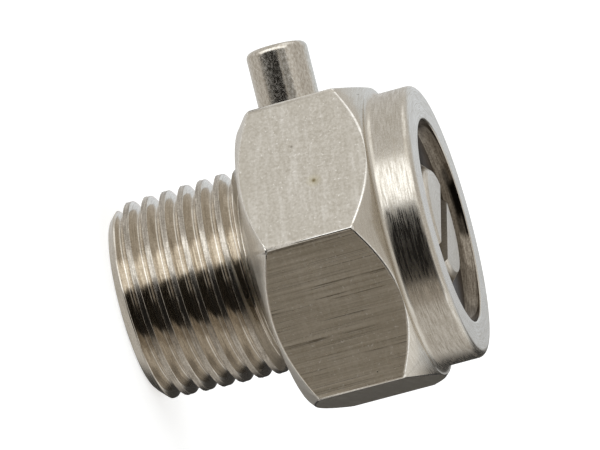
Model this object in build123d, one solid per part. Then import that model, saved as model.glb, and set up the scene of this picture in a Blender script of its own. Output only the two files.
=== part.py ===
from build123d import *
import math
import os

# Air bleed valve: a hexagon body with a taper pipe thread, a slotted bleed screw with an
# O-ring on its stem, and a small outlet spout pressed into one flat of the hexagon.
# Millimetres. +Z runs from the threaded end to the bleed screw, +X runs along the spout,
# and the origin is the centre of the threaded end's face.

# Taper pipe thread, one eighth inch: 28 turns to the inch on a cone of 1 in 16
thread_pitch = 0.907
thread_depth = 0.54
thread_taper = 1 / 16
thread_flank_angle = 27.5
thread_root_width = 0.075
groove_height = 1.383
gauge_radius = 4.864
gauge_height = 4.0
thread_length = 6.33
tip_chamfer = 0.5
cutter_overrun = 0.1
cutter_end_gap = 0.03

# Neck between the thread and the hexagon: a groove, then a short cone up to a thicker ring
neck_radius = 4.1
neck_width = 0.8
neck_groove_width = 0.12
neck_cone_rise = 0.27

# Hexagon, chamfered at the base from a circle and at the top from a narrow shoulder
hex_across_flats = 14.0
hex_length = 6.33
hex_base_radius = 6.82
hex_base_angle = 39.0
hex_shoulder_width = 0.37
hex_top_angle = 48.0

# Collar and the recess that the bleed screw stands in
collar_radius = 6.62
collar_height = 2.06
collar_edge_radius = 0.35
collar_root_radius = 0.33
recess_radius = 4.92
recess_depth = 0.8
edge_break = 0.08

# Water way: inlet bore, orifice, cone seat and chamber
inlet_radius = 2.25
inlet_edge_break = 0.3
drill_point_angle = 31.0
orifice_radius = 0.9
orifice_length = 0.5
seat_width = 0.6
chamber_floor_drop = 0.2

# Outlet spout: a shouldered tube whose shank is pressed into a cross hole
spout_rise = 2.31
spout_radius = 1.48
spout_bore_radius = 0.7
spout_reach = 3.1
spout_shank_radius = 1.2
spout_floor = 1.3
spout_edge_radius = 0.3
spout_bore_break = 0.15

# Bleed screw: fine thread of 0.75 pitch, which opens by one turn
screw_radius = 2.95
screw_pitch = 0.75
open_turns = 1.0
screw_top_drop = 0.28
screw_chamfer = 0.45
slot_width = 1.0
slot_depth = 1.2
slot_angle = 128.7
stem_radius = 2.25
stem_land = 0.25
flow_gap = 0.5
needle_end_radius = 0.5
mouth_break = 0.25

# O-ring and its groove
ring_groove_depth = 0.8
ring_side_room = 0.25
seal_lead_in = 0.3

# Clearances
running_clearance = 0.05
seat_clearance = 0.05
shoulder_clearance = 0.1

# Heights and radii that follow from the sizes above
hex_base = thread_length + neck_width
hex_top = hex_base + hex_length
rim_height = hex_top + collar_height
recess_floor = rim_height - recess_depth
flat_distance = hex_across_flats / 2
corner_radius = flat_distance / math.cos(math.pi / 6)

spout_height = hex_base + spout_rise
spout_end_x = flat_distance + spout_reach

seal_bore_radius = stem_radius + running_clearance
spout_seat_x = seal_bore_radius + spout_floor
needle_radius = stem_radius - flow_gap
thread_bore_radius = screw_radius + running_clearance
lift = screw_pitch * open_turns

chamber_floor = spout_height - spout_bore_radius - chamber_floor_drop
seat_base = chamber_floor - seat_width
inlet_cone_top = seat_base - orifice_length
inlet_top = inlet_cone_top - (inlet_radius - orifice_radius) * math.tan(math.radians(drill_point_angle))

groove_radius = stem_radius - ring_groove_depth
ring_inner_radius = groove_radius + running_clearance
ring_outer_radius = seal_bore_radius - running_clearance
ring_section_radius = (ring_outer_radius - ring_inner_radius) / 2
ring_centre_radius = (ring_outer_radius + ring_inner_radius) / 2
groove_width = 2 * ring_section_radius + ring_side_room
stem_base = spout_height + spout_bore_radius
groove_base = stem_base + stem_land
groove_top = groove_base + groove_width
seal_bore_top = groove_top + lift
thread_bore_floor = seal_bore_top + seal_lead_in
screw_thread_base = thread_bore_floor + shoulder_clearance
screw_top = rim_height - screw_top_drop


def thread_radius(height):
    """Crest radius of the taper thread at a height above the threaded end."""
    return gauge_radius + (height - gauge_height) * thread_taper / 2


def turned(points):
    """A turned solid from the half outline that the points give as (radius, height)."""
    outline = Plane.XZ * make_face(Polyline(*points, close=True))
    return revolve(outline, Axis.Z)


def cutter_start():
    """A height below the tip from which a groove of this pitch reaches groove_height over +X."""
    turns_below = math.ceil(groove_height / thread_pitch) + 1
    return groove_height - turns_below * thread_pitch


def thread_cutter():
    """A V-shaped cutter swept along a conical helix, from below the tip into the neck."""
    flank = math.tan(math.radians(thread_flank_angle))
    root_half = thread_root_width / 2
    crest_half = root_half + (thread_depth + cutter_overrun) * flank
    groove_half = root_half + thread_depth * flank
    start = cutter_start()
    end = hex_base - groove_half - cutter_end_gap
    radius = thread_radius(start)
    path = Helix(
        pitch=thread_pitch,
        height=end - start,
        radius=radius,
        center=(0, 0, start),
        cone_angle=math.degrees(math.atan(thread_taper / 2)),
    )
    section = Plane.XZ * make_face(
        Polyline(
            (radius - thread_depth, start - root_half),
            (radius - thread_depth, start + root_half),
            (radius + cutter_overrun, start + crest_half),
            (radius + cutter_overrun, start - crest_half),
            close=True,
        )
    )
    return sweep(section, path=path, is_frenet=True)


def threaded_end():
    """The thread cut into an overlong cone, which is then turned down to the tip and the neck."""
    low = cutter_start() - thread_pitch
    cone = turned(
        [(0, low), (thread_radius(low), low), (thread_radius(hex_base), hex_base), (0, hex_base)]
    )
    tip_radius = thread_radius(0) - tip_chamfer
    outside = gauge_radius + thread_pitch
    cone_base = thread_length + neck_groove_width
    envelope = turned(
        [
            (0, 0),
            (tip_radius, 0),
            (outside, outside - tip_radius),
            (outside, thread_length),
            (neck_radius, thread_length),
            (neck_radius, cone_base),
            (neck_radius + neck_cone_rise, cone_base + neck_cone_rise),
            (neck_radius + neck_cone_rise, hex_base),
            (0, hex_base),
        ]
    )
    return (cone - thread_cutter()) & envelope


def head_outline():
    """Half outline of the head: base chamfer, top chamfer, hollow corner, collar, round rim."""
    outside = corner_radius + 1
    shoulder_radius = collar_radius + hex_shoulder_width
    base_rise = (outside - hex_base_radius) * math.tan(math.radians(hex_base_angle))
    top_fall = (outside - shoulder_radius) * math.tan(math.radians(hex_top_angle))
    outline = make_face(
        Polyline(
            (0, hex_base),
            (hex_base_radius, hex_base),
            (outside, hex_base + base_rise),
            (outside, hex_top - top_fall),
            (shoulder_radius, hex_top),
            (collar_radius, hex_top),
            (collar_radius, rim_height),
            (0, rim_height),
            close=True,
        )
    )
    root = outline.vertices().sort_by_distance((collar_radius, hex_top))[0]
    outline = fillet(root, collar_root_radius)
    rim = outline.vertices().sort_by_distance((collar_radius, rim_height))[0]
    return fillet(rim, collar_edge_radius)


def head():
    """The bar's hexagon wherever the turned outline leaves it standing."""
    bar = Pos(0, 0, hex_base) * extrude(
        RegularPolygon(flat_distance, 6, major_radius=False, rotation=30), rim_height - hex_base
    )
    return bar & revolve(Plane.XZ * head_outline(), Axis.Z)


def water_way():
    """Everything bored along the axis, from the inlet to the recess."""
    return turned(
        [
            (0, -1),
            (inlet_radius + inlet_edge_break, -1),
            (inlet_radius + inlet_edge_break, 0),
            (inlet_radius, inlet_edge_break),
            (inlet_radius, inlet_top),
            (orifice_radius, inlet_cone_top),
            (orifice_radius, seat_base),
            (orifice_radius + seat_width, chamber_floor),
            (seal_bore_radius, chamber_floor),
            (seal_bore_radius, seal_bore_top),
            (seal_bore_radius + seal_lead_in, thread_bore_floor),
            (thread_bore_radius, thread_bore_floor),
            (thread_bore_radius, recess_floor - mouth_break),
            (thread_bore_radius + mouth_break, recess_floor),
            (recess_radius, recess_floor),
            (recess_radius, rim_height - edge_break),
            (recess_radius + edge_break, rim_height),
            (recess_radius + edge_break, rim_height + 1),
            (0, rim_height + 1),
        ]
    )


def along_x(radius, start, end):
    """A round bar at the spout's height, from one X to another."""
    return Plane.YZ.offset(start) * Pos(0, spout_height, 0) * extrude(Circle(radius), end - start)


def valve_body():
    body = threaded_end() + head()
    body -= water_way()
    body -= along_x(spout_bore_radius, 0, flat_distance)
    return body - along_x(spout_shank_radius, spout_seat_x, flat_distance + 1)


def discharge_spout():
    tube = along_x(spout_radius, flat_distance, spout_end_x)
    tube = fillet(tube.edges().group_by(Axis.X)[-1], spout_edge_radius)
    tube += along_x(spout_shank_radius, spout_seat_x, flat_distance)
    tube -= along_x(spout_bore_radius, spout_seat_x - 1, spout_end_x + 1)
    return chamfer(tube.edges().group_by(Axis.X)[-1], spout_bore_break)


def bleed_screw():
    gap = seat_clearance * math.sqrt(2)
    needle_cone = chamber_floor - seat_width - orifice_radius + gap
    screw = turned(
        [
            (0, needle_cone + needle_end_radius),
            (needle_end_radius, needle_cone + needle_end_radius),
            (needle_radius, needle_cone + needle_radius),
            (needle_radius, stem_base),
            (stem_radius, stem_base),
            (stem_radius, groove_base),
            (groove_radius, groove_base),
            (groove_radius, groove_top),
            (stem_radius, groove_top),
            (stem_radius, screw_thread_base),
            (screw_radius, screw_thread_base),
            (screw_radius, screw_top - screw_chamfer),
            (screw_radius - screw_chamfer, screw_top),
            (0, screw_top),
        ]
    )
    slot = Rot(0, 0, slot_angle) * Pos(0, 0, screw_top - slot_depth / 2) * Box(
        3 * screw_radius, slot_width, slot_depth
    )
    return screw - slot


def stem_o_ring():
    centre = (groove_base + groove_top) / 2
    return Pos(0, 0, centre) * Torus(ring_centre_radius, ring_section_radius)


nodes = {
    "valve_body": valve_body,
    "discharge_spout": discharge_spout,
    "bleed_screw": bleed_screw,
    "stem_o_ring": stem_o_ring,
}

os.makedirs("parts", exist_ok=True)
for name, make in nodes.items():
    export_step(make(), f"parts/{name}.step")
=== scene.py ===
import math

import bmesh
import bpy
from mathutils import Matrix, Vector, noise as wobble


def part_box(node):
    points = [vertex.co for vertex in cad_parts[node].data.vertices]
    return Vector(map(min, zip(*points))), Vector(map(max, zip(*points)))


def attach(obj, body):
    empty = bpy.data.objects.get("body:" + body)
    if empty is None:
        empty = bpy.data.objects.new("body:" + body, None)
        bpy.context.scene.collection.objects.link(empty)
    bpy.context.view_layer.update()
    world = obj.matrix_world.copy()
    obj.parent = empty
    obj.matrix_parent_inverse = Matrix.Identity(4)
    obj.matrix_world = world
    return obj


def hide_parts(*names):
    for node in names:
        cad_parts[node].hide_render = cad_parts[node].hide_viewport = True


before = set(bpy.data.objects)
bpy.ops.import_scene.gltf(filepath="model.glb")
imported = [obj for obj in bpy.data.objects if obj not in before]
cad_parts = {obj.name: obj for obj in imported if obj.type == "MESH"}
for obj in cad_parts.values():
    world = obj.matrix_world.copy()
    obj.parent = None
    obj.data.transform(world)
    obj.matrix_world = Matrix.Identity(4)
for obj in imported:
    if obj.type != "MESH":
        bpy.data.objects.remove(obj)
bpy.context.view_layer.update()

# Valve body: one piece turned from 14 mm hexagon bar of brass and nickel plated. The taper pipe
# thread is cut, the hexagon is the bar's own with both ends turned to a chamfer, and the collar
# with its recess is turned last. Lengths are in millimetres, and heights are from the threaded end.
MILLIMETRE = 0.001
body_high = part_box("valve_body")[1]
flat_distance = body_high[0] / MILLIMETRE
rim_height = body_high[2] / MILLIMETRE

thread_pitch = 0.907
thread_depth = 0.54
thread_root_half = 0.0375
thread_flank_run = 0.281
thread_edge_softness = 0.03
thread_burr_height = 0.022
thread_burr_width = 0.028
thread_taper = 1 / 16
thread_length = 6.33
gauge_radius = 4.864
gauge_height = 4.0
groove_height = 1.383
tip_chamfer = 0.5

neck_radius = 4.1
neck_groove_width = 0.12
neck_cone_rise = 0.27
hex_base = 7.13
hex_base_radius = 6.82
hex_base_slope = math.tan(math.radians(39))
hex_base_round = 0.05
hex_shoulder_radius = 6.99
hex_top_slope = math.tan(math.radians(48))
hex_edge_round = 0.08
hex_corner_round = 0.1
base_chamfer_reach = 1.2
collar_radius = 6.62
collar_height = 2.06
collar_root_radius = 0.33
collar_edge_radius = 0.35
recess_radius = 4.92
recess_depth = 0.8
recess_edge_radius = 0.08
thread_bore_radius = 3.0
mouth_break = 0.25

inlet_radius = 2.25
inlet_break = 0.3
drill_point_slope = math.tan(math.radians(31))
orifice_radius = 0.9
orifice_length = 0.5
seat_width = 0.6
chamber_floor_drop = 0.2
seal_bore_radius = 2.3
seal_bore_top = 12.14
seal_lead_in = 0.3

spout_height = 9.44
spout_bore_radius = 0.7
spout_shank_radius = 1.2
spout_seat_x = 3.6
hole_overrun = 0.5

hex_top = rim_height - collar_height
middle = (hex_base + hex_top) / 2
floor_height = rim_height - recess_depth
seat_top = spout_height - spout_bore_radius - chamber_floor_drop
orifice_base = seat_top - seat_width - orifice_length
inlet_top = orifice_base - (inlet_radius - orifice_radius) * drill_point_slope
cone_base = thread_length + neck_groove_width
ring_radius_at_neck = neck_radius + neck_cone_rise

COLUMNS = 240
HOLE_COLUMNS = 48
MERGE_DISTANCE = 1e-4
PLANE_DISTANCE = 1e-5
SAME_HEIGHT = 1e-3


def chain(points):
    """A bmesh that holds an open chain of (radius, height) points, ready to spin about Z."""
    shape = bmesh.new()
    verts = [shape.verts.new((radius, 0, height)) for radius, height in points]
    for first, second in zip(verts, verts[1:]):
        shape.edges.new((first, second))
    return shape


def spin(shape, columns, rise=0.0):
    """Turns the chain once about Z, climbing by rise, and closes the seam."""
    bmesh.ops.spin(
        shape,
        geom=shape.verts[:] + shape.edges[:],
        cent=(0, 0, 0),
        axis=(0, 0, 1),
        dvec=(0, 0, rise / columns),
        angle=math.tau,
        steps=columns,
        use_merge=rise == 0,
    )
    bmesh.ops.remove_doubles(shape, verts=shape.verts, dist=MERGE_DISTANCE)


def arc(centre, radius, start, end, steps):
    """Points along an arc about (radius, height), from one angle in degrees to another."""
    angles = [math.radians(start + (end - start) * step / steps) for step in range(steps + 1)]
    return [(centre[0] + radius * math.cos(a), centre[1] + radius * math.sin(a)) for a in angles]


def set_radius(vert, radius):
    """Moves a vertex straight out from Z to a radius."""
    angle = math.atan2(vert.co.y, vert.co.x)
    vert.co.x = radius * math.cos(angle)
    vert.co.y = radius * math.sin(angle)


# Rows of points over half a pitch, as parts of it: close together where the flank meets the crest.
THREAD_ROWS = (0.0, 0.1, 0.3, 0.5, 0.64, 0.69, 0.72, 0.75, 0.79, 0.84, 0.92)
DRUM_RADIUS = 10
BURR_RAGGEDNESS = 1.3
BURR_TEARS = 5


def helical_shell(
    pitch,
    depth,
    root_half,
    flank_run,
    softness,
    phase,
    base,
    top,
    radius_at,
    burr_height=0.0,
    burr_width=1.0,
):
    """An open tube with a real helical thread on it, cut off square at base and top.

    It is spun on a straight drum and then drawn in to its own radius. The phase is the height of a
    groove over +X. The burr is what the tool leaves, ragged, along one edge of each crest.
    """
    rows = [pitch / 2 * part for part in THREAD_ROWS]
    rows = [-row for row in reversed(rows[1:])] + rows + [pitch / 2]
    first = math.floor((base - phase) / pitch) - 2
    last = math.ceil((top - phase) / pitch) + 1
    points = []
    for turn in range(first, last):
        for row in rows:
            line = depth * (1 - (abs(row) - root_half) / flank_run)
            cut = min((line + math.hypot(line, softness)) / 2, depth)
            points.append((DRUM_RADIUS - cut, phase + turn * pitch + row))
    shell = chain(points)
    spin(shell, COLUMNS, rise=pitch)
    for vert in shell.verts:
        cut = DRUM_RADIUS - math.hypot(vert.co.x, vert.co.y)
        set_radius(vert, radius_at(vert.co.z) - cut)
        climb = phase + pitch * math.atan2(vert.co.y, vert.co.x) / math.tau
        row = (vert.co.z - climb + pitch / 2) % pitch - pitch / 2
        off_edge = (row - root_half - flank_run - burr_width / 2) / burr_width
        torn = 1 + BURR_RAGGEDNESS * wobble.noise(vert.co * BURR_TEARS)
        burr = burr_height * torn * math.exp(-(off_edge**2))
        set_radius(vert, radius_at(vert.co.z) - cut + burr)
    for height, side in ((base, -1), (top, 1)):
        bmesh.ops.bisect_plane(
            shell,
            geom=shell.verts[:] + shell.edges[:] + shell.faces[:],
            dist=PLANE_DISTANCE,
            plane_co=(0, 0, height),
            plane_no=(0, 0, side),
            clear_outer=True,
        )
    return shell


def join(target, extra):
    """Adds one bmesh to another."""
    holder = bpy.data.meshes.new("holder")
    extra.to_mesh(holder)
    extra.free()
    target.from_mesh(holder)
    bpy.data.meshes.remove(holder)


def rim_edges(shape, height):
    """The open edges that lie at a height."""
    rim = []
    for edge in shape.edges:
        if edge.is_boundary and all(abs(vert.co.z - height) < SAME_HEIGHT for vert in edge.verts):
            rim.append(edge)
    return rim


def finish(shape, name, materials, body, node):
    """Makes the bmesh a closed object in metres that rides on a body and stands for a node."""
    bmesh.ops.remove_doubles(shape, verts=shape.verts, dist=MERGE_DISTANCE)
    bmesh.ops.recalc_face_normals(shape, faces=shape.faces)
    bmesh.ops.scale(shape, vec=(MILLIMETRE,) * 3, verts=shape.verts)
    for face in shape.faces:
        face.smooth = True
    mesh = bpy.data.meshes.new(name)
    shape.to_mesh(mesh)
    shape.free()
    for material in materials:
        mesh.materials.append(material)
    piece = bpy.data.objects.new(name, mesh)
    bpy.context.scene.collection.objects.link(piece)
    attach(piece, body)
    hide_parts(node)
    return piece


def cut_away(piece, cutter):
    """Subtracts a closed bmesh in millimetres from a piece, and keeps the result as its mesh."""
    bmesh.ops.recalc_face_normals(cutter, faces=cutter.faces)
    bmesh.ops.scale(cutter, vec=(MILLIMETRE,) * 3, verts=cutter.verts)
    mesh = bpy.data.meshes.new("cutter")
    cutter.to_mesh(mesh)
    cutter.free()
    tool = bpy.data.objects.new("cutter", mesh)
    bpy.context.scene.collection.objects.link(tool)
    step = piece.modifiers.new("cut", "BOOLEAN")
    step.operation = "DIFFERENCE"
    step.solver = "EXACT"
    step.object = tool
    graph = bpy.context.evaluated_depsgraph_get()
    result = bpy.data.meshes.new_from_object(piece.evaluated_get(graph))
    piece.modifiers.remove(step)
    old = piece.data
    piece.data = result
    bpy.data.meshes.remove(old)
    bpy.data.objects.remove(tool)
    bpy.data.meshes.remove(mesh)


def even_normals(piece):
    """Lets the large faces keep their true normals beside their rounded edges."""
    weighted = piece.modifiers.new("even_normals", "WEIGHTED_NORMAL")
    weighted.keep_sharp = True
    weighted.weight = 60


def linear(colour):
    """The linear colour of an sRGB hex value."""
    parts = [int(colour[i : i + 2], 16) / 255 for i in (1, 3, 5)]
    return [p / 12.92 if p <= 0.04045 else ((p + 0.055) / 1.055) ** 2.4 for p in parts] + [1.0]


def add(tree, kind, inputs=None, **settings):
    """Adds a node with its settings, constants and links. A node given as input links its live output."""
    made = tree.nodes.new("ShaderNode" + kind)
    for name, value in settings.items():
        setattr(made, name, value)
    for socket, value in (inputs or {}).items():
        if isinstance(value, bpy.types.Node):
            value = next(output for output in value.outputs if output.enabled)
        if isinstance(value, bpy.types.NodeSocket):
            tree.links.new(value, made.inputs[socket])
        else:
            made.inputs[socket].default_value = value
    return made


def empty_material(name):
    """A material with nothing in it yet, and its node tree."""
    material = bpy.data.materials.new(name)
    material.use_nodes = True
    tree = material.node_tree
    tree.nodes.clear()
    return material, tree


def grain_pattern(tree, place, size, stretch=(1, 1, 1), detail=3.0, seed=(0, 0, 0)):
    """Grains of size millimetres, drawn out along an axis by stretch."""
    scale = [1 / (size * MILLIMETRE * longer) for longer in stretch]
    mapped = add(tree, "Mapping", {"Vector": place, "Scale": scale, "Location": seed})
    return add(tree, "TexNoise", {"Vector": mapped, "Scale": 1.0, "Detail": detail})


def lathe_place(tree, place):
    """Coordinates that run across the tool's lines on any turned face: (x, y, z + 3 radii)."""
    xyz = add(tree, "SeparateXYZ", {0: place})
    flat = add(tree, "CombineXYZ", {0: xyz.outputs[0], 1: xyz.outputs[1]})
    radius = add(tree, "VectorMath", {0: flat}, operation="LENGTH")
    across = add(tree, "Math", {0: radius, 1: 3.0, 2: xyz.outputs[2]}, operation="MULTIPLY_ADD")
    return add(tree, "CombineXYZ", {0: xyz.outputs[0], 1: xyz.outputs[1], 2: across})


def pits(tree, place, spacing, size, share, seed):
    """Small round pits: 1 in a pit and 0 outside, with only a share of the cells holding one."""
    scale = 1 / (spacing * MILLIMETRE)
    mapped = add(tree, "Mapping", {"Vector": place, "Scale": (scale,) * 3, "Location": seed})
    cells = add(tree, "TexVoronoi", {"Vector": mapped, "Scale": 1.0})
    edge = {"From Min": size / spacing * 0.5, "From Max": size / spacing, "To Min": 1.0, "To Max": 0.0}
    pit = add(tree, "MapRange", {"Value": cells.outputs["Distance"]} | edge)
    chance = add(tree, "SeparateColor", {0: cells.outputs["Color"]}).outputs[0]
    chosen = add(tree, "Math", {0: chance, 1: share}, operation="LESS_THAN")
    return add(tree, "Math", {0: pit, 1: chosen}, operation="MULTIPLY")


def scratches(tree, place, size, stretch, width, seed):
    """Thin broken scratches, where a stretched grain crosses its middle: 1 on one and 0 beside it."""
    field = grain_pattern(tree, place, size=size, stretch=stretch, detail=0.0, seed=seed)
    off = add(tree, "Math", {0: field, 1: 0.5}, operation="SUBTRACT")
    off = add(tree, "Math", {0: off}, operation="ABSOLUTE")
    edge = {"From Min": width * 0.4, "From Max": width, "To Min": 1.0, "To Max": 0.0}
    thin = add(tree, "MapRange", {"Value": off} | edge)
    gaps = grain_pattern(tree, place, size=0.5, stretch=(1, 1, 4), detail=1.0, seed=seed)
    kept = add(tree, "MapRange", {"Value": gaps, "From Min": 0.45, "From Max": 0.62})
    return add(tree, "Math", {0: thin, 1: kept}, operation="MULTIPLY")


def mark(tree, place, centre, inner, outer, strength):
    """A round mark: its strength within inner millimetres of the centre, and 0 beyond outer."""
    away = add(tree, "VectorMath", {0: place, 1: centre}, operation="DISTANCE")
    edge = {"From Min": inner * MILLIMETRE, "From Max": outer * MILLIMETRE, "To Min": strength, "To Max": 0.0}
    return add(tree, "MapRange", {"Value": away} | edge)


def metal(tree, colour, roughness, height, relief):
    """A bare metal shader whose bumps are relief millimetres high."""
    bump = add(tree, "Bump", {"Height": height, "Strength": 1.0, "Distance": relief * MILLIMETRE})
    look = {"Base Color": colour, "Metallic": 1.0, "Roughness": roughness, "Normal": bump}
    add(tree, "OutputMaterial", {"Surface": add(tree, "BsdfPrincipled", look)})


NICKEL_BRIGHT = linear("#F0EBE2")
NICKEL = linear("#D6CFC3")
NICKEL_DULL = linear("#B9B0A1")
NICKEL_DARK = linear("#6E6455")


def turned_nickel(name, line, relief, rough, tints, seed):
    """Nickel plate over a lathe's lines, of which line is the width and relief the height.

    Some lines are dull and each mirrors a little beside the next, so that the eye sees reflections
    with ragged edges. A lathe feeds by about the 0.06 mm drawn here. The plate's own grain is far
    finer than a picture shows, and is drawn at 0.08 mm.
    """
    material, tree = empty_material(name)
    place = add(tree, "TexCoord").outputs["Object"]
    lathe = lathe_place(tree, place)
    lines = grain_pattern(tree, lathe, size=line, stretch=(14, 14, 1), seed=seed)
    waves = grain_pattern(tree, lathe, size=line * 3.5, stretch=(5, 5, 1), detail=2.0, seed=seed)
    grain = grain_pattern(tree, place, size=0.08, detail=2.0, seed=seed)
    holes = pits(tree, place, spacing=0.8, size=0.06, share=0.3, seed=seed)

    height = lines
    for pattern, part in ((waves, 0.7), (grain, 0.3), (holes, -5.0)):
        height = add(tree, "Math", {0: pattern, 1: part, 2: height}, operation="MULTIPLY_ADD")
    mottle = add(tree, "Mix", {0: 0.4, 2: lines, 3: grain})
    shade = add(tree, "MapRange", {"Value": mottle, "From Min": 0.38, "From Max": 0.62})
    tint = add(tree, "Mix", {0: shade, 6: tints[0], 7: tints[1]}, data_type="RGBA")
    tint = add(tree, "Mix", {0: holes, 6: tint, 7: NICKEL_DARK}, data_type="RGBA")
    dulled = {"From Min": 0.36, "From Max": 0.66, "To Min": rough[0], "To Max": rough[1]}
    metal(tree, tint, add(tree, "MapRange", {"Value": lines} | dulled), height, relief)
    return material


def on_flat(azimuth, across, height):
    """A point on the flat that faces an azimuth, in metres."""
    turn = Matrix.Rotation(math.radians(azimuth), 3, "Z")
    return tuple(turn @ Vector((flat_distance, across, height)) * MILLIMETRE)


stained_flat_azimuth = 60
drawn_flat_azimuth = 120
STAIN = on_flat(stained_flat_azimuth, 0.87, 10.83)
STAIN_HALO = linear("#B5A878")
STAIN_CORE = linear("#6B5A33")
# A painted shade spot where this flat has a dented place; the flat's shape is not dented.
DENT_SHADE = on_flat(stained_flat_azimuth, -1.35, 10.0)


def bar_nickel(name, drawn, tints, rough):
    """Nickel plate over a flat of the bar, from satin at drawn 0 to full of draw lines at drawn 1.

    The eye sees a sparkling grain with bright flecks, cross marks from handling, clouds of a darker
    tone, lines along the bar, and on one flat a stain and a dark spot. The flecks' brightness is
    painted glint, and the dark spot is painted shade for a dented place that the flat's shape lacks.
    The plate's grain and the draw lines are far finer than a picture shows, and are drawn at 0.13 mm
    and 0.09 mm.
    """
    material, tree = empty_material(name)
    place = add(tree, "TexCoord").outputs["Object"]
    grain = grain_pattern(tree, place, size=0.13, detail=4.0)
    clouds = grain_pattern(tree, place, size=2.2, seed=(6, 1, 3))
    rub = grain_pattern(tree, place, size=0.3, stretch=(9, 9, 1), seed=(3, 1, 4))
    draw = grain_pattern(tree, place, size=0.09, stretch=(1, 1, 70), seed=(9, 2, 6))
    lines = scratches(tree, place, size=0.2, stretch=(1, 1, 400), width=0.03, seed=(5, 3, 5))
    sparkle = grain_pattern(tree, place, size=0.16, seed=(8, 8, 1))
    flecks = add(tree, "MapRange", {"Value": sparkle, "From Min": 0.64, "From Max": 0.72})
    holes = pits(tree, place, spacing=1.3, size=0.05, share=0.3, seed=(2, 7, 1))

    surface = add(tree, "Mix", {0: 0.3, 2: grain, 3: rub})
    mottle = add(tree, "Mix", {0: drawn * 0.55, 2: surface, 3: draw})
    height = mottle
    for pattern, part in ((lines, drawn * -0.8), (flecks, 0.4), (holes, -3.0)):
        height = add(tree, "Math", {0: pattern, 1: part, 2: height}, operation="MULTIPLY_ADD")

    shade = add(tree, "MapRange", {"Value": mottle, "From Min": 0.33, "From Max": 0.67})
    tint = add(tree, "Mix", {0: shade, 6: tints[1], 7: tints[0]}, data_type="RGBA")
    dim = add(tree, "MapRange", {"Value": clouds, "From Min": 0.4, "From Max": 0.7, "To Max": 0.25})
    dirt = add(tree, "Math", {0: lines, 1: drawn * 0.75}, operation="MULTIPLY")
    rubbed = {"From Min": 0.52, "From Max": 0.8, "To Max": 0.4 - drawn * 0.35}
    rub_wear_and_glint = add(tree, "MapRange", {"Value": rub} | rubbed)
    # The flecks add painted glints of bright nickel to the rubbed marks' own lighter wear.
    rub_wear_and_glint = add(tree, "Math", {0: flecks, 1: 0.7, 2: rub_wear_and_glint}, operation="MULTIPLY_ADD")
    halo = mark(tree, place, STAIN, inner=0.08, outer=0.42, strength=0.4)
    core = mark(tree, place, STAIN, inner=0.03, outer=0.14, strength=0.8)
    # Painted shade: a dark spot for the dented place.
    dent_shade = mark(tree, place, DENT_SHADE, inner=0.02, outer=0.1, strength=0.6)
    for share, colour in (
        (dim, tints[1]),
        (dirt, NICKEL_DARK),
        (rub_wear_and_glint, NICKEL_BRIGHT),
        (holes, NICKEL_DARK),
        (halo, STAIN_HALO),
        (core, STAIN_CORE),
        (dent_shade, NICKEL_DARK),
    ):
        tint = add(tree, "Mix", {0: share, 6: tint, 7: colour}, data_type="RGBA")
    dulled = {"From Min": 0.3, "From Max": 0.7, "To Min": rough[0], "To Max": rough[1]}
    metal(tree, tint, add(tree, "MapRange", {"Value": grain} | dulled), height, relief=0.004)
    return material


PLATED = (NICKEL, NICKEL_DULL)
PLATED_EVEN = (linear("#D0C9BC"), linear("#C2B9AB"))
PLATED_BRIGHT = (NICKEL_BRIGHT, NICKEL)
TORN = (linear("#C6BDAF"), linear("#978E81"))
CUT = (linear("#DED6C9"), linear("#B8AE9F"))
# Painted shade: the recess wall's dark tints.
SHADED = (linear("#797063"), linear("#4F463B"))
# Painted shade: the recess floor's darker tints.
DARK = (linear("#4A4137"), linear("#2F2822"))
SATIN = (NICKEL, linear("#BDB5A6"))
DRAWN = (linear("#E2D9C9"), linear("#AFA592"))

# Collar and tip: plated over open turning lines, a broken mirror of the tent.
turned_face = turned_nickel(
    "nickel_plated_turned_brass",
    line=0.06, relief=0.0012, rough=(0.14, 0.38), tints=PLATED, seed=(4, 1, 7),
)
# Thread crests: torn by the cutter, a duller and browner line along each turn.
thread_crest = turned_nickel(
    "nickel_plated_torn_crest",
    line=0.07, relief=0.0008, rough=(0.17, 0.3), tints=TORN, seed=(1, 5, 2),
)
# Thread flanks: cut clean, so they mirror sharply.
thread_flank = turned_nickel(
    "nickel_plated_cut_flank",
    line=0.09, relief=0.0003, rough=(0.09, 0.18), tints=CUT, seed=(6, 2, 2),
)
# Recess wall: a brown mirror whose dark tints are painted shade, for the shade that fills the recess.
recess_wall_painted_shade = turned_nickel(
    "nickel_plated_turned_recess_painted_shade",
    line=0.05, relief=0.0012, rough=(0.07, 0.14), tints=SHADED, seed=(2, 9, 4),
)
# Recess floor: the same, dull, with darker tints that are painted shade for the deep shade between the wall
# and the screw.
recess_floor_painted_shade = turned_nickel(
    "nickel_plated_dull_recess_floor_painted_shade",
    line=0.06, relief=0.001, rough=(0.3, 0.45), tints=DARK, seed=(5, 9, 4),
)
# Base chamfer and neck: a rougher turning pass, pale and dull.
dull_chamfer = turned_nickel(
    "nickel_plated_dull_chamfer",
    line=0.06, relief=0.001, rough=(0.4, 0.55), tints=PLATED_BRIGHT, seed=(3, 1, 8),
)
# Shoulder and collar's foot: a finishing pass, an even soft grey.
smooth_shoulder = turned_nickel(
    "nickel_plated_smooth_shoulder",
    line=0.06, relief=0.0004, rough=(0.2, 0.32), tints=PLATED_EVEN, seed=(5, 5, 1),
)
# Rounded edges: the brightest lines of the piece; their bright tint is a painted highlight over what the
# roundings mirror.
edge_painted_highlight = turned_nickel(
    "nickel_plated_edge_painted_highlight",
    line=0.1, relief=0.001, rough=(0.1, 0.2), tints=PLATED_BRIGHT, seed=(7, 7, 7),
)
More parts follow.
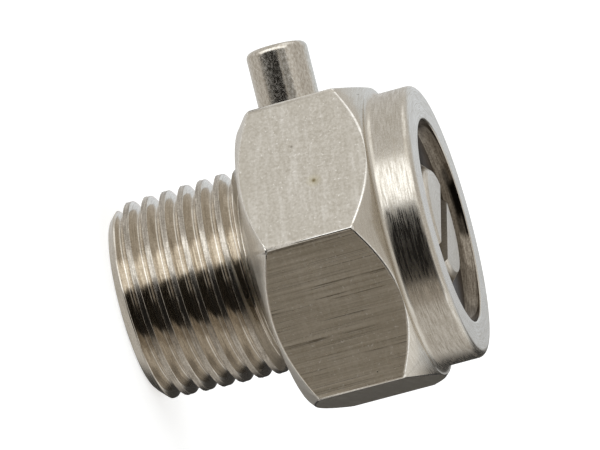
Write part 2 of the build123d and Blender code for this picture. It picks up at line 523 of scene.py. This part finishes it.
# Flats of the bar: satin, and one of them with the bar's draw lines.
bar_flat = bar_nickel("nickel_plated_satin_bar", drawn=0.1, tints=SATIN, rough=(0.28, 0.4))
drawn_flat = bar_nickel("nickel_plated_drawn_bar", drawn=1.0, tints=DRAWN, rough=(0.26, 0.4))
TURNED, CREST, FLANK, FLAT, DRAWN_FLAT, RECESS, EDGE, FLOOR, CHAMFER, SHOULDER = range(10)


def hex_radius(vert):
    """How far out the hexagon's side lies in the direction of a vertex."""
    angle = math.degrees(math.atan2(vert.co.y, vert.co.x)) % 60
    return flat_distance / math.cos(math.radians(angle if angle < 30 else angle - 60))


def rounded(corner, before, after, cut, share):
    """A point on the rounding of a corner: share runs from 0 towards before to 1 towards after."""
    corner, before, after = Vector(corner), Vector(before), Vector(after)
    start = corner + (before - corner).normalized() * cut
    end = corner + (after - corner).normalized() * cut
    return start * (1 - share) ** 2 + corner * 2 * share * (1 - share) + end * share**2


# The edge between a flat and a chamfer rises and falls round the hexagon. Its rows of points are
# spun in a parked place outside the piece, and each point then goes to its own place on the edge.
ROUND_STEPS = 5
ROUND_LIMIT = 0.45
PARKED_RADIUS = 9.0
PARKED_STEP = 0.1
PARKED_AWAY = 1.0
CORNER_TOLERANCE = 0.1
parked_low = middle - PARKED_AWAY
parked_high = middle + PARKED_AWAY
base_rows = [(PARKED_RADIUS, parked_low + PARKED_STEP * step) for step in range(ROUND_STEPS + 1)]
top_rows = [(PARKED_RADIUS, parked_high + PARKED_STEP * step) for step in range(ROUND_STEPS + 1)]

# A ring this close to a rounding keeps the shading of the straight part beside it true.
SUPPORT_GAP = 0.05
root_centre = (collar_radius + collar_root_radius, hex_top + collar_root_radius)
edge_centre = (collar_radius - collar_edge_radius, rim_height - collar_edge_radius)
lip_centre = (recess_radius + recess_edge_radius, rim_height - recess_edge_radius)
head = chain(
    [
        (neck_radius, thread_length),
        (neck_radius, cone_base),
        (ring_radius_at_neck, cone_base + neck_cone_rise),
        (ring_radius_at_neck, hex_base),
        (hex_base_radius, hex_base),
    ]
    + base_rows
    + top_rows
    + [(hex_shoulder_radius, hex_top)]
    + arc(root_centre, collar_root_radius, 270, 180, 8)
    + [(collar_radius, root_centre[1] + SUPPORT_GAP), (collar_radius, edge_centre[1] - SUPPORT_GAP)]
    + arc(edge_centre, collar_edge_radius, 0, 90, 10)
    + [(edge_centre[0] - SUPPORT_GAP, rim_height), (lip_centre[0] + SUPPORT_GAP, rim_height)]
    + arc(lip_centre, recess_edge_radius, 90, 180, 4)
    + [
        (recess_radius, floor_height),
        (thread_bore_radius + mouth_break, floor_height),
        (thread_bore_radius, floor_height - mouth_break),
        (thread_bore_radius, seal_bore_top + seal_lead_in),
        (seal_bore_radius + seal_lead_in, seal_bore_top + seal_lead_in),
        (seal_bore_radius, seal_bore_top),
        (seal_bore_radius, seat_top),
        (orifice_radius + seat_width, seat_top),
        (orifice_radius, seat_top - seat_width),
        (orifice_radius, orifice_base),
        (inlet_radius, inlet_top),
        (inlet_radius, inlet_break),
        (inlet_radius + inlet_break, 0),
    ]
)
spin(head, COLUMNS)
on_top_edge = {}
for vert in head.verts:
    if math.hypot(vert.co.x, vert.co.y) < PARKED_RADIUS - PARKED_STEP:
        continue
    radius = hex_radius(vert)
    on_top_edge[vert] = vert.co.z > middle
    if on_top_edge[vert]:
        step = round((vert.co.z - parked_high) / PARKED_STEP)
        before = (radius, middle)
        corner = (radius, hex_top - (radius - hex_shoulder_radius) * hex_top_slope)
        after = (hex_shoulder_radius, hex_top)
        cut = min(hex_edge_round, math.dist(corner, after) * ROUND_LIMIT)
    else:
        step = round((vert.co.z - parked_low) / PARKED_STEP)
        before = (hex_base_radius, hex_base)
        corner = (radius, hex_base + (radius - hex_base_radius) * hex_base_slope)
        after = (radius, middle)
        cut = min(hex_base_round, math.dist(corner, before) * ROUND_LIMIT)
    reach, vert.co.z = rounded(corner, before, after, cut, step / ROUND_STEPS)
    set_radius(vert, reach)

edge_faces = set()
for face in head.faces:
    rows_met = {on_top_edge.get(vert) for vert in face.verts}
    if rows_met == {True} or rows_met == {False}:
        edge_faces.add(face)
corner_edges = []
for edge in head.edges:
    if all(vert in on_top_edge for vert in edge.verts):
        turns = [(math.degrees(math.atan2(vert.co.y, vert.co.x)) + 30) % 60 for vert in edge.verts]
        if all(min(turn, 60 - turn) < CORNER_TOLERANCE for turn in turns):
            corner_edges.append(edge)
bevelled = bmesh.ops.bevel(
    head,
    geom=corner_edges,
    affect="EDGES",
    offset=hex_corner_round,
    offset_type="OFFSET",
    segments=ROUND_STEPS,
    profile=0.5,
    clamp_overlap=True,
    material=-1,
)
edge_faces |= set(bevelled["faces"])

# The bevel can leave a point a hair outside the bar, so every point is drawn back to the six flats.
facings = [Vector((math.cos(turn * math.pi / 3), math.sin(turn * math.pi / 3), 0)) for turn in range(6)]
for vert in head.verts:
    for facing in facings:
        vert.co -= facing * max(vert.co.dot(facing) - flat_distance, 0)


def thread_radius(height):
    """Crest radius of the taper thread at a height above the threaded end."""
    return gauge_radius + (height - gauge_height) * thread_taper / 2


shell = helical_shell(
    pitch=thread_pitch,
    depth=thread_depth,
    root_half=thread_root_half,
    flank_run=thread_flank_run,
    softness=thread_edge_softness,
    phase=groove_height,
    base=0,
    top=thread_length,
    radius_at=thread_radius,
    burr_height=thread_burr_height,
    burr_width=thread_burr_width,
)
tip_radius = thread_radius(0) - tip_chamfer
for vert in shell.verts:
    if math.hypot(vert.co.x, vert.co.y) > tip_radius + vert.co.z:
        set_radius(vert, tip_radius + vert.co.z)

# Each face gets its finish from where it lies, within these tolerances.
TIP_TOLERANCE = 0.02
CREST_TOLERANCE = 0.04
FLAT_TOLERANCE = 0.05
PLACE_TOLERANCE = 0.01
UPRIGHT = 0.1
for face in shell.faces:
    centre = face.calc_center_median()
    reach = math.hypot(centre.x, centre.y)
    if reach > tip_radius + centre.z - TIP_TOLERANCE:
        face.material_index = TURNED
    elif reach > thread_radius(centre.z) - CREST_TOLERANCE:
        face.material_index = CREST
    else:
        face.material_index = FLANK
for face in head.faces:
    centre = face.calc_center_median()
    reach = math.hypot(centre.x, centre.y)
    if face in edge_faces:
        face.material_index = EDGE
    elif abs(face.normal.z) < UPRIGHT and reach > flat_distance - FLAT_TOLERANCE:
        facing = math.degrees(math.atan2(centre.y, centre.x)) % 360
        face.material_index = DRAWN_FLAT if abs(facing - drawn_flat_azimuth) < 30 else FLAT
    elif reach < recess_radius + PLACE_TOLERANCE and centre.z > floor_height + PLACE_TOLERANCE:
        face.material_index = RECESS
    elif reach < recess_radius and centre.z > floor_height - mouth_break:
        face.material_index = FLOOR
    elif thread_length < centre.z < hex_base + base_chamfer_reach and reach > neck_radius:
        face.material_index = CHAMFER
    elif middle < centre.z < hex_top + collar_root_radius and reach > collar_radius + PLACE_TOLERANCE:
        face.material_index = SHOULDER
    else:
        face.material_index = TURNED
join(head, shell)
for height in (0, thread_length):
    bmesh.ops.bridge_loops(head, edges=rim_edges(head, height))
valve_body = finish(
    head,
    "valve_body_turned",
    [
        turned_face,
        thread_crest,
        thread_flank,
        bar_flat,
        drawn_flat,
        recess_wall_painted_shade,
        edge_painted_highlight,
        recess_floor_painted_shade,
        dull_chamfer,
        smooth_shoulder,
    ],
    "valve_body",
    "valve_body",
)

cross_hole = chain(
    [
        (0, 0),
        (spout_bore_radius, 0),
        (spout_bore_radius, spout_seat_x),
        (spout_shank_radius, spout_seat_x),
        (spout_shank_radius, flat_distance + hole_overrun),
        (0, flat_distance + hole_overrun),
    ]
)
spin(cross_hole, HOLE_COLUMNS)
TO_SPOUT = Matrix.Translation((0, 0, spout_height)) @ Matrix.Rotation(math.pi / 2, 4, "Y")
bmesh.ops.transform(cross_hole, matrix=TO_SPOUT, verts=cross_hole.verts)
cut_away(valve_body, cross_hole)
even_normals(valve_body)

# Outlet spout: a short tube of nickel-plated brass with a satin skin. Its thinner shank is pressed
# into the cross hole, its shoulder sits on the flat, and its mouth is rounded.
spout_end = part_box("discharge_spout")[1][0] / MILLIMETRE
spout_radius = 1.48
spout_edge_radius = 0.3
spout_bore_break = 0.15
spout_foot_break = 0.03
SPOUT_COLUMNS = 96


def satin_nickel(name):
    """Nickel plate over a drawn tube that was tumbled: a soft sparkle over faint draw lines.

    The grain is far finer than a picture shows, and is drawn at 0.1 mm.
    """
    material, tree = empty_material(name)
    place = add(tree, "TexCoord").outputs["Object"]
    grain = grain_pattern(tree, place, size=0.1, stretch=(1.6, 1, 1), detail=4.0, seed=(7, 7, 2))
    draw = grain_pattern(tree, place, size=0.15, stretch=(14, 1, 1), seed=(1, 8, 3))
    sparkle = grain_pattern(tree, place, size=0.16, seed=(4, 4, 1))
    flecks = add(tree, "MapRange", {"Value": sparkle, "From Min": 0.64, "From Max": 0.72, "To Max": 0.6})
    height = add(tree, "Math", {0: draw, 1: 0.5, 2: grain}, operation="MULTIPLY_ADD")
    shade = add(tree, "MapRange", {"Value": grain, "From Min": 0.35, "From Max": 0.65})
    tint = add(tree, "Mix", {0: shade, 6: NICKEL_DULL, 7: NICKEL}, data_type="RGBA")
    # The flecks are painted glints: bright nickel laid into the colour.
    tint = add(tree, "Mix", {0: flecks, 6: tint, 7: NICKEL_BRIGHT}, data_type="RGBA")
    dulled = {"From Min": 0.3, "From Max": 0.7, "To Min": 0.12, "To Max": 0.22}
    metal(tree, tint, add(tree, "MapRange", {"Value": grain} | dulled), height, relief=0.0035)
    return material


mouth_centre = (spout_radius - spout_edge_radius, spout_end - spout_edge_radius)
tube = chain(
    [
        (spout_bore_radius, spout_seat_x),
        (spout_shank_radius, spout_seat_x),
        (spout_shank_radius, flat_distance),
        (spout_radius - spout_foot_break, flat_distance),
        (spout_radius, flat_distance + spout_foot_break),
        (spout_radius, flat_distance + 3 * spout_foot_break),
        (spout_radius, mouth_centre[1] - 2 * spout_foot_break),
    ]
    + arc(mouth_centre, spout_edge_radius, 0, 90, 8)
    + [
        (spout_bore_radius + spout_bore_break, spout_end),
        (spout_bore_radius, spout_end - spout_bore_break),
        (spout_bore_radius, spout_seat_x),
    ]
)
spin(tube, SPOUT_COLUMNS)
bmesh.ops.transform(tube, matrix=TO_SPOUT, verts=tube.verts)
discharge_spout = finish(
    tube,
    "discharge_spout_tube",
    [satin_nickel("satin_nickel_plated_tube")],
    "valve_body",
    "discharge_spout",
)
even_normals(discharge_spout)

# Bleed screw: turned brass, nickel plated, with a fine thread, a cone tip that closes the seat,
# a groove for the O-ring and a sawn slot in its chamfered end.
screw_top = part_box("bleed_screw")[1][2] / MILLIMETRE
screw_radius = 2.95
screw_pitch = 0.75
screw_thread_depth = 0.38
screw_root_half = 0.05
screw_flank_run = 0.22
screw_edge_softness = 0.02
screw_thread_base = 12.54
screw_relief = 0.25
screw_chamfer = 0.45
crown_edge = 0.05
slot_width = 1.0
slot_depth = 1.2
slot_angle = 128.7
stem_radius = 2.25
stem_base = 10.14
needle_radius = 1.75
needle_cone = 7.1107
needle_end_radius = 0.5
groove_radius = 1.45
groove_base = 10.39
groove_top = 11.39

thread_start = screw_thread_base + screw_relief
thread_end = screw_top - screw_chamfer
screw = chain(
    [
        (0, needle_cone + needle_end_radius),
        (needle_end_radius, needle_cone + needle_end_radius),
        (needle_radius, needle_cone + needle_radius),
        (needle_radius, stem_base),
        (stem_radius, stem_base),
        (stem_radius, groove_base),
        (groove_radius, groove_base),
        (groove_radius, groove_top),
        (stem_radius, groove_top),
        (stem_radius, screw_thread_base),
        (screw_radius - screw_thread_depth, thread_start),
    ]
)
spin(screw, COLUMNS)
crown_centre = (screw_radius - screw_chamfer - crown_edge, screw_top - crown_edge)
crown = chain([(screw_radius, thread_end)] + arc(crown_centre, crown_edge, 45, 90, 3) + [(0, screw_top)])
spin(crown, COLUMNS)
shank = helical_shell(
    pitch=screw_pitch,
    depth=screw_thread_depth,
    root_half=screw_root_half,
    flank_run=screw_flank_run,
    softness=screw_edge_softness,
    phase=screw_thread_base,
    base=thread_start,
    top=thread_end,
    radius_at=lambda height: screw_radius,
)
join(screw, crown)
join(screw, shank)
for height in (thread_start, thread_end):
    bmesh.ops.bridge_loops(screw, edges=rim_edges(screw, height))
# A duller turned finish than the collar's: the eye sees an even pale disc, cut by the dark slot.
screw_metal = turned_nickel(
    "nickel_plated_turned_screw",
    line=0.06, relief=0.001, rough=(0.3, 0.45), tints=PLATED, seed=(8, 3, 3),
)
bleed_screw = finish(
    screw,
    "bleed_screw_slotted",
    [screw_metal],
    "bleed_screw",
    "bleed_screw",
)

saw = bmesh.new()
bmesh.ops.create_cube(saw, size=1.0)
bmesh.ops.scale(saw, vec=(3 * screw_radius, slot_width, 2 * slot_depth), verts=saw.verts)
bmesh.ops.translate(saw, vec=(0, 0, screw_top), verts=saw.verts)
slot_turn = Matrix.Rotation(math.radians(slot_angle), 3, "Z")
bmesh.ops.rotate(saw, cent=(0, 0, 0), matrix=slot_turn, verts=saw.verts)
cut_away(bleed_screw, saw)
even_normals(bleed_screw)

# O-ring: moulded nitrile rubber, matt black, that sits in the groove of the stem and seals it
# against the bore while the screw is open. It slides along the bore with the screw.
ring_low, ring_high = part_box("stem_o_ring")
ring_section = (ring_high[2] - ring_low[2]) / 2 / MILLIMETRE
ring_radius = ring_high[0] / MILLIMETRE - ring_section
ring_height = (ring_high[2] + ring_low[2]) / 2 / MILLIMETRE
RING_STEPS = 32
RING_COLUMNS = 96
RUBBER_DARK = linear("#1A1A19")
RUBBER_PALE = linear("#2B2A28")


def nitrile_rubber(name):
    """Moulded nitrile rubber: matt black with a faint mottle, drawn coarser than it is, at 0.2 mm."""
    material, tree = empty_material(name)
    place = add(tree, "TexCoord").outputs["Object"]
    mottle = grain_pattern(tree, place, size=0.2, detail=2.0)
    bump = add(tree, "Bump", {"Height": mottle, "Strength": 0.5, "Distance": 0.004 * MILLIMETRE})
    tint = add(tree, "Mix", {0: mottle, 6: RUBBER_DARK, 7: RUBBER_PALE}, data_type="RGBA")
    look = {"Base Color": tint, "Roughness": 0.6, "IOR": 1.52, "Normal": bump}
    add(tree, "OutputMaterial", {"Surface": add(tree, "BsdfPrincipled", look)})
    return material


ring = chain(arc((ring_radius, ring_height), ring_section, 0, 360, RING_STEPS))
bmesh.ops.remove_doubles(ring, verts=ring.verts, dist=MERGE_DISTANCE)
spin(ring, RING_COLUMNS)
finish(
    ring,
    "stem_o_ring_moulded",
    [nitrile_rubber("nitrile_rubber")],
    "stem_seal",
    "stem_o_ring",
)

# Studio: a white floor, and a round light tent that only shines and mirrors. Its front is open
# towards the camera, which the metal shows as a dark band, and a soft box glows above that.
view_azimuth = 96.3
view_elevation = 10.2
roll = 15.1
TENT_RADIUS = 0.8
TENT_SEGMENTS = 120
FLOOR_HALF_SIZE = 6.0
FLOOR_GLOW = 0.58

# Each light of the tent: from one side to another, in degrees clockwise from the camera as seen from
# above, from one rise above the floor to another, the softness of its bounds, its level and warmth.
TENT_LIGHTS = (
    (-200, 200, -100, 100, 1, 0.66, 0.03),
    (62, 200, -60, 60, 12, 0.74, 0.0),
    (-150, -60, 26, 60, 12, 1.0, -0.05),
    (-200, -150, 2, 50, 6, 0.82, -0.14),
    (150, 200, 2, 50, 6, 0.82, -0.14),
    (64, 120, 8, 40, 6, 1.2, -0.05),
    # These three are painted shade: dim patches low at the back stand in for the shade around the valve's
    # underside, which the tip, the thread's lower side and the bottom flat mirror.
    (-150, -100, -46, -16, 12, 0.36, 0.05),
    (-150, -132, -44, 20, 16, 0.25, 0.05),
    (-176, -142, -44, 30, 8, 0.05, 0.05),
    (-64, -30, -64, 22, 6, 0.4, 0.16),
    (-64, 30, 16, 44, 8, 0.3, 0.0),
    (-64, 30, 44, 66, 8, 0.8, 0.0),
    (23, 62, -52, 46, 7, 1.75, -0.09),
    (-43, 22, -64, 12, 4, 0.016, 0.1),
    (-43, 0, 0, 34, 8, 0.02, 0.1),
)


def stage_mesh(shape, name, material):
    """A stage object from a bmesh in metres."""
    mesh = bpy.data.meshes.new(name)
    shape.to_mesh(mesh)
    shape.free()
    mesh.materials.append(material)
    thing = bpy.data.objects.new(name, mesh)
    bpy.context.scene.collection.objects.link(thing)
    return thing


def share_inside(value, low, high, soft):
    """1 between two limits and 0 outside, with soft degrees between them."""
    rise = min(max((value - low) / soft + 0.5, 0), 1)
    fall = min(max((high - value) / soft + 0.5, 0), 1)
    return rise * fall


def tent_colour(place):
    """The tent's light at a place: each light lies over the ones before it."""
    side = view_azimuth - math.degrees(math.atan2(place.y, place.x))
    side = (side + 180) % 360 - 180
    rise = math.degrees(math.atan2(place.z, math.hypot(place.x, place.y)))
    level = warmth = 0.0
    for left, right, low, high, soft, light, warm in TENT_LIGHTS:
        share = share_inside(side, left, right, soft) * share_inside(rise, low, high, soft)
        level += (light - level) * share
        warmth += (warm - warmth) * share
    return level, level * (1 - 0.45 * warmth), level * (1 - warmth), 1


tent_shape = bmesh.new()
bmesh.ops.create_uvsphere(
    tent_shape, u_segments=TENT_SEGMENTS, v_segments=TENT_SEGMENTS // 2, radius=TENT_RADIUS
)
# Translucent white cloth lit from outside, which the metal shows as soft patches of light.
tent_cloth, tree = empty_material("tent_cloth")
glow = add(tree, "VertexColor", layer_name="light")
cloth = add(tree, "Emission", {"Color": glow.outputs["Color"], "Strength": 1.0})
add(tree, "OutputMaterial", {"Surface": cloth})
tent = stage_mesh(tent_shape, "tent", tent_cloth)
light = tent.data.color_attributes.new("light", "FLOAT_COLOR", "POINT")
for vert in tent.data.vertices:
    light.data[vert.index].color = tent_colour(vert.co)
tent.visible_camera = False
tent.visible_shadow = False

# White paper, over-lit so that the picture's ground is white and keeps the valve's soft shadow.
floor_paper, tree = empty_material("white_floor")
seen = add(tree, "LightPath").outputs["Is Camera Ray"]
paper = add(tree, "BsdfDiffuse", {"Color": linear("#E6E6E4")})
lift = add(tree, "Emission", {"Color": (1, 1, 1, 1), "Strength": FLOOR_GLOW})
lit = add(tree, "AddShader", {0: paper, 1: lift})
shown = add(tree, "MixShader", {0: seen, 1: paper, 2: lit})
add(tree, "OutputMaterial", {"Surface": shown})
sheet = bmesh.new()
bmesh.ops.create_grid(sheet, x_segments=1, y_segments=1, size=FLOOR_HALF_SIZE)
floor = stage_mesh(sheet, "floor", floor_paper)
floor.visible_glossy = False

world = bpy.data.worlds.new("white_room")
bpy.context.scene.world = world
world.use_nodes = True
tree = world.node_tree
tree.nodes.clear()
room = add(tree, "Background", {"Color": (1, 1, 1, 1), "Strength": 1.0})
add(tree, "OutputWorld", {"Surface": room})

# Camera: a long lens, a little above the valve and turned so that the axis rises to the right, as
# in the photograph. The lens is worked out from the picture's scale in pixels per millimetre.
PICTURE_WIDTH = 600
PIXELS_PER_MILLIMETRE = 21.18
CENTRE_HEIGHT = 8.552
CENTRE_ABOVE_AXIS = 1.610
CAMERA_DISTANCE = 0.35
SENSOR = 36

azimuth = math.radians(view_azimuth)
elevation = math.radians(view_elevation)
lean = math.radians(roll)
level_direction = Vector((math.cos(azimuth), math.sin(azimuth), 0))
towards = level_direction * math.cos(elevation) + Vector((0, 0, math.sin(elevation)))
above = Vector((math.sin(azimuth), -math.cos(azimuth), 0))
along = above.cross(towards)
if along.z < 0:
    along = -along
picture_right = math.cos(lean) * along - math.sin(lean) * above
picture_up = math.sin(lean) * along + math.cos(lean) * above
target = (Vector((0, 0, CENTRE_HEIGHT)) + above * CENTRE_ABOVE_AXIS) * MILLIMETRE
camera_data = bpy.data.cameras.new("camera")
camera_data.sensor_width = SENSOR
camera_data.lens = SENSOR * CAMERA_DISTANCE / MILLIMETRE * PIXELS_PER_MILLIMETRE / PICTURE_WIDTH
camera_data.clip_start = 0.01
camera_data.clip_end = 50
camera = bpy.data.objects.new("camera", camera_data)
bpy.context.scene.collection.objects.link(camera)
turn = Matrix((picture_right, picture_up, towards)).transposed().to_4x4()
camera.matrix_world = Matrix.Translation(target + towards * CAMERA_DISTANCE) @ turn
bpy.context.scene.camera = camera
bpy.context.scene.view_settings.view_transform = "Standard"
